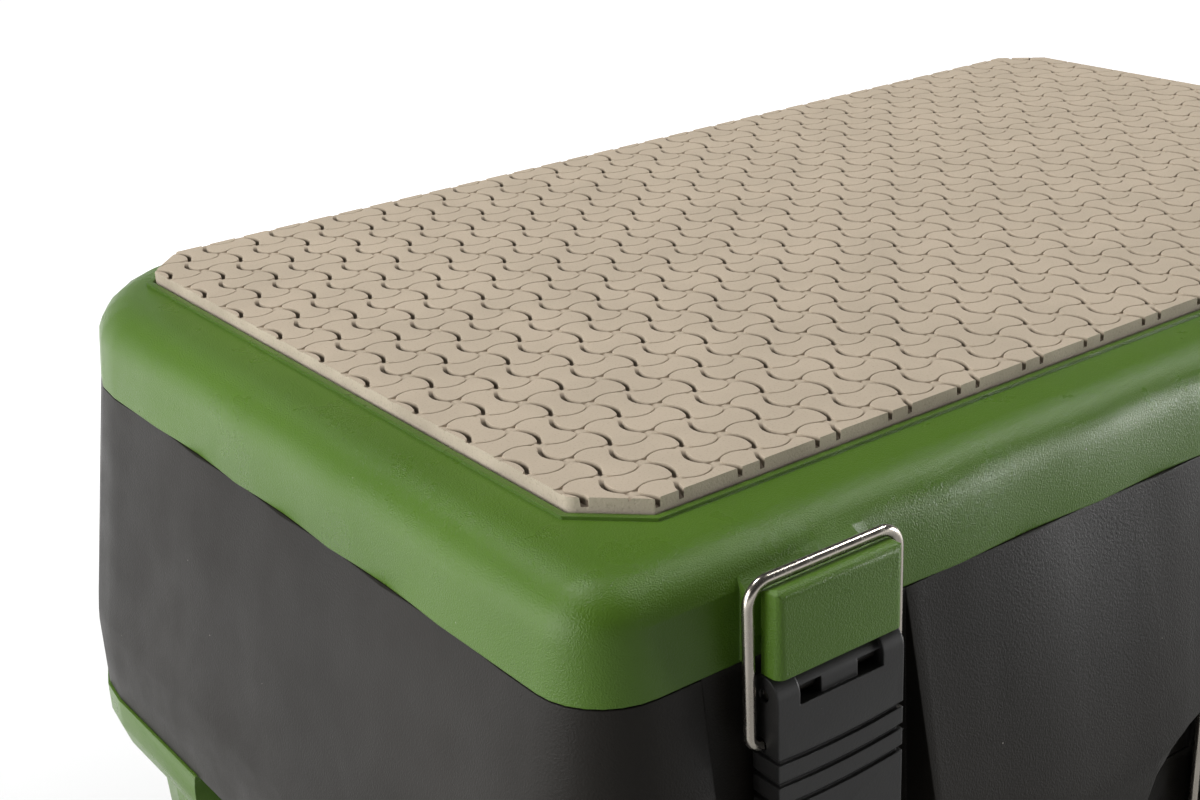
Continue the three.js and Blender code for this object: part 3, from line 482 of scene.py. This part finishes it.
def tile_rings():
    """A tile's rings before it is bent: its cell's border, then from the groove's floor to its top."""
    shares = np.array(HALF_SIDE_SHARES)
    on_border = np.zeros(len(shares))
    along_x = shares * TILE_PITCH_X / 2
    along_y = shares * TILE_PITCH_Y / 2
    from_crossing = np.sin(shares * math.pi / 2) ** CROSSING_POWER
    waist_half = HEAD_GROOVE + (WAIST_GROOVE - HEAD_GROOVE) * from_crossing
    head_drop = CROSSING_DEPTH + (HEAD_DEPTH - CROSSING_DEPTH) * from_crossing
    waist_drop = CROSSING_DEPTH + (WAIST_DEPTH - CROSSING_DEPTH) * from_crossing
    rings = [whole_ring((along_x, on_border, head_drop), (on_border, along_y, waist_drop))]
    for edges_in, depth_share in TILE_RINGS:
        front_x, front_y = rounded(along_x, HEAD_GROOVE + edges_in * TILE_EDGE)
        left_y, left_x = rounded(along_y, waist_half + edges_in * TILE_EDGE)
        front = (front_x, front_y, head_drop * depth_share)
        rings.append(whole_ring(front, (left_x, left_y, waist_drop * depth_share)))
    return np.stack(rings, 1)


def pad_tiles(width, depth):
    """The pressed surface: points as rows of x, y and drop from the pad's near left corner, and faces."""
    rings = tile_rings()
    columns = np.arange(-1, math.ceil(width / TILE_PITCH_X) + 1)
    rows = np.arange(-1, math.ceil(depth / TILE_PITCH_Y) + 1)
    column, row = (grid.reshape(-1, 1, 1) for grid in np.meshgrid(columns, rows))
    u = column + rings[0] / TILE_PITCH_X
    v = row + rings[1] / TILE_PITCH_Y
    x = TILE_PITCH_X * u + TILE_BULGE * np.cos(np.pi * u) * np.sin(np.pi * v)
    y = TILE_START_Y + TILE_PITCH_Y * v - TILE_BULGE * np.cos(np.pi * v) * np.sin(np.pi * u)
    points = np.stack([x, y, np.broadcast_to(rings[2], x.shape)], -1)
    index = np.arange(x.size).reshape(x.shape)
    onward = np.roll(index, -1, 2)
    quads = np.stack([index[:, :-1], onward[:, :-1], onward[:, 1:], index[:, 1:]], -1)
    return points.reshape(-1, 3), quads.reshape(-1, 4).tolist() + index[:, -1].tolist()


def pad_outline(low, high):
    """The planes that cut the pad out, at its sides and corners, each as a place and an outward direction."""
    middle = (low + high) / 2
    half = (high - low) / 2
    slope = 1 / math.sqrt(2)
    planes = []
    for side in (-1, 1):
        planes.append((Vector((middle.x + side * half.x, middle.y, 0)), Vector((side, 0, 0))))
        planes.append((Vector((middle.x, middle.y + side * half.y, 0)), Vector((0, side, 0))))
        for end in (-1, 1):
            place = Vector((middle.x + side * (half.x - PAD_CORNER), middle.y + end * half.y, 0))
            planes.append((place, Vector((side * slope, end * slope, 0))))
    return planes


def close_pad(bm, low, high):
    """Gives the pressed surface its cut sides and underside, in the second material."""
    pressed = set(bm.faces)
    rim = [edge for edge in bm.edges if edge.is_boundary]
    for share in SIDE_SHARES:
        made = bmesh.ops.extrude_edge_only(bm, edges=rim)["geom"]
        for vert in (part for part in made if isinstance(part, bmesh.types.BMVert)):
            vert.co.z = low.z + (high.z - WAIST_DEPTH - low.z) * share
        rim = [part for part in made if isinstance(part, bmesh.types.BMEdge) and part.is_boundary]
    bmesh.ops.contextual_create(bm, geom=rim)
    for face in bm.faces:
        face.material_index = 0 if face in pressed else 1
    bmesh.ops.recalc_face_normals(bm, faces=bm.faces)


def seat_pad():
    """Stands for the pad: pressed tiles cut to its outline, with flat sides."""
    low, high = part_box("seat_pad")
    points, faces = pad_tiles(high.x - low.x, high.y - low.y)
    places = np.array([low.x, low.y, high.z]) + points * np.array([1, 1, -1])
    mesh = bpy.data.meshes.new("seat_pad_foam")
    mesh.from_pydata(places.tolist(), [], faces)
    bm = bmesh.new()
    bm.from_mesh(mesh)
    bmesh.ops.remove_doubles(bm, verts=bm.verts, dist=MERGE_DISTANCE)
    for place, outward in pad_outline(low, high):
        everything = bm.verts[:] + bm.edges[:] + bm.faces[:]
        bmesh.ops.bisect_plane(
            bm, geom=everything, dist=CUT_DISTANCE, plane_co=place, plane_no=outward, clear_outer=True
        )
    close_pad(bm, low, high)
    bm.to_mesh(mesh)
    bm.free()
    shade_smooth(mesh, PAD_CREASE_ANGLE)
    piece = new_piece("seat_pad_foam", mesh, "lid", "foam", foams["foam_skin"], foams["foam_cut"])
    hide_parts("seat_pad")


moulded = dict(SHELLS)
moulded.update({f"latch_lever_{where}": LEVER for where in LATCHES})
moulded.update({node: DIVIDER for node in DIVIDERS})

for node, (plastic, width) in moulded.items():
    softened(node, plastic, width)
    paint(nodes[node], plastics[plastic])

for where in LATCHES:
    wire_bail(f"latch_bail_{where}")
    paint(nodes[f"latch_bail_{where}"], steel)

for node, obj in nodes.items():
    if "pin" in node:
        paint(obj, steel)
        shade_smooth(obj.data, SMOOTH_ANGLE)

seat_pad()
paint(nodes["seat_pad"], foams["foam_skin"])


# Stage


def add_area(name, place, target, size, power):
    data = bpy.data.lights.new(name, "AREA")
    data.shape = "SQUARE"
    data.size = size
    data.energy = power
    lamp = bpy.data.objects.new(name, data)
    bpy.context.scene.collection.objects.link(lamp)
    lamp.location = place
    lamp.rotation_mode = "QUATERNION"
    lamp.rotation_quaternion = (Vector(target) - Vector(place)).to_track_quat("-Z", "Y")


def add_world():
    """A room that is white at the backdrop's height and dimmer overhead, and lights the object evenly."""
    look = Look(bpy.data.worlds.new("world"), shader="Background", coords="Generated")
    room = look.ramp(look.height(), BACKDROP_TOP, (1.0, CEILING_BRIGHTNESS))
    look.set("Color", colour(1, 1, 1))
    look.set("Strength", look.ramp(look.seen_directly(), (0.0, 1.0), (ROOM_LIGHT, room)))
    bpy.context.scene.world = look.owner


def add_floor():
    """A pale floor that keeps the object's shadow and fades to white away from it."""
    mesh = bpy.data.meshes.new("floor")
    corners = [(x * FLOOR_REACH, y * FLOOR_REACH, 0) for x, y in ((-1, -1), (1, -1), (1, 1), (-1, 1))]
    mesh.from_pydata(corners, [], [(0, 1, 2, 3)])
    floor = bpy.data.objects.new("floor", mesh)
    bpy.context.scene.collection.objects.link(floor)
    look = Look(bpy.data.materials.new("floor"))
    look.set("Base Color", colour(*FLOOR_GREY))
    look.set("Roughness", FLOOR_ROUGHNESS)
    look.set("Emission Color", colour(1, 1, 1))
    away = look.add("ShaderNodeVectorMath", {0: look.coords, 1: FADE_MIDDLE}, operation="DISTANCE")
    white = look.ramp(away.outputs["Value"], FADE_RANGE, (0.0, FADE_BRIGHTNESS))
    glow = look.add("ShaderNodeMath", {0: look.seen_directly(), 1: white}, operation="MULTIPLY")
    look.set("Emission Strength", glow.outputs["Value"])
    paint(floor, look.owner)


add_world()
add_floor()
for name, lamp in LAMPS.items():
    add_area(name, **lamp)
